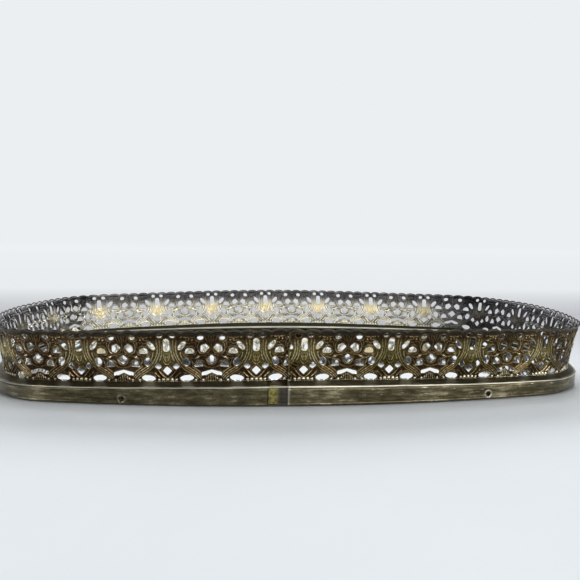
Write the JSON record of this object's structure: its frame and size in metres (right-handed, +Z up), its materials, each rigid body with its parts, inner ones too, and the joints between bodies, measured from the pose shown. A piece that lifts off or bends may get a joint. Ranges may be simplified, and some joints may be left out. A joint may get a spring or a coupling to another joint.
{
  "type": "dresser vanity tray",
  "caption": "Soft oblong mirror vanity tray with a plain formed brass rim and a low flared gallery of pierced antique-brass filigree, holding perfume bottles on a dresser.",
  "frame": {"origin": "bottom of the felt, under the middle of the tray's plan", "axes": "+X along the length, +Y across towards the back, away from the joint of rim and gallery, +Z up"},
  "size_m": [0.2934, 0.1828, 0.0321],
  "materials": {
    "aged_brass": "antique, tarnished dark in the recesses",
    "splice_brass": "satin, less tarnished than the rim",
    "silvered_glass": "polished mirror, silvered underneath",
    "hardboard": "raw pressed fibreboard",
    "backing_paper": "plain kraft paper",
    "felt": "short felt nap",
    "brad_steel": "darkened plain steel"
  },
  "bodies": {
    "root": {"felt_base": "felt", "backing_board": "hardboard", "backing_paper": "backing_paper", "mirror_plate": "silvered_glass", "rim_moulding": "aged_brass", "rim_splice": "splice_brass", "gallery_strip": "aged_brass", "rim_brad_1": "brad_steel", "rim_brad_2": "brad_steel", "rim_brad_3": "brad_steel", "rim_brad_4": "brad_steel", "rim_brad_5": "brad_steel", "rim_brad_6": "brad_steel"}
  },
  "joints": []
}
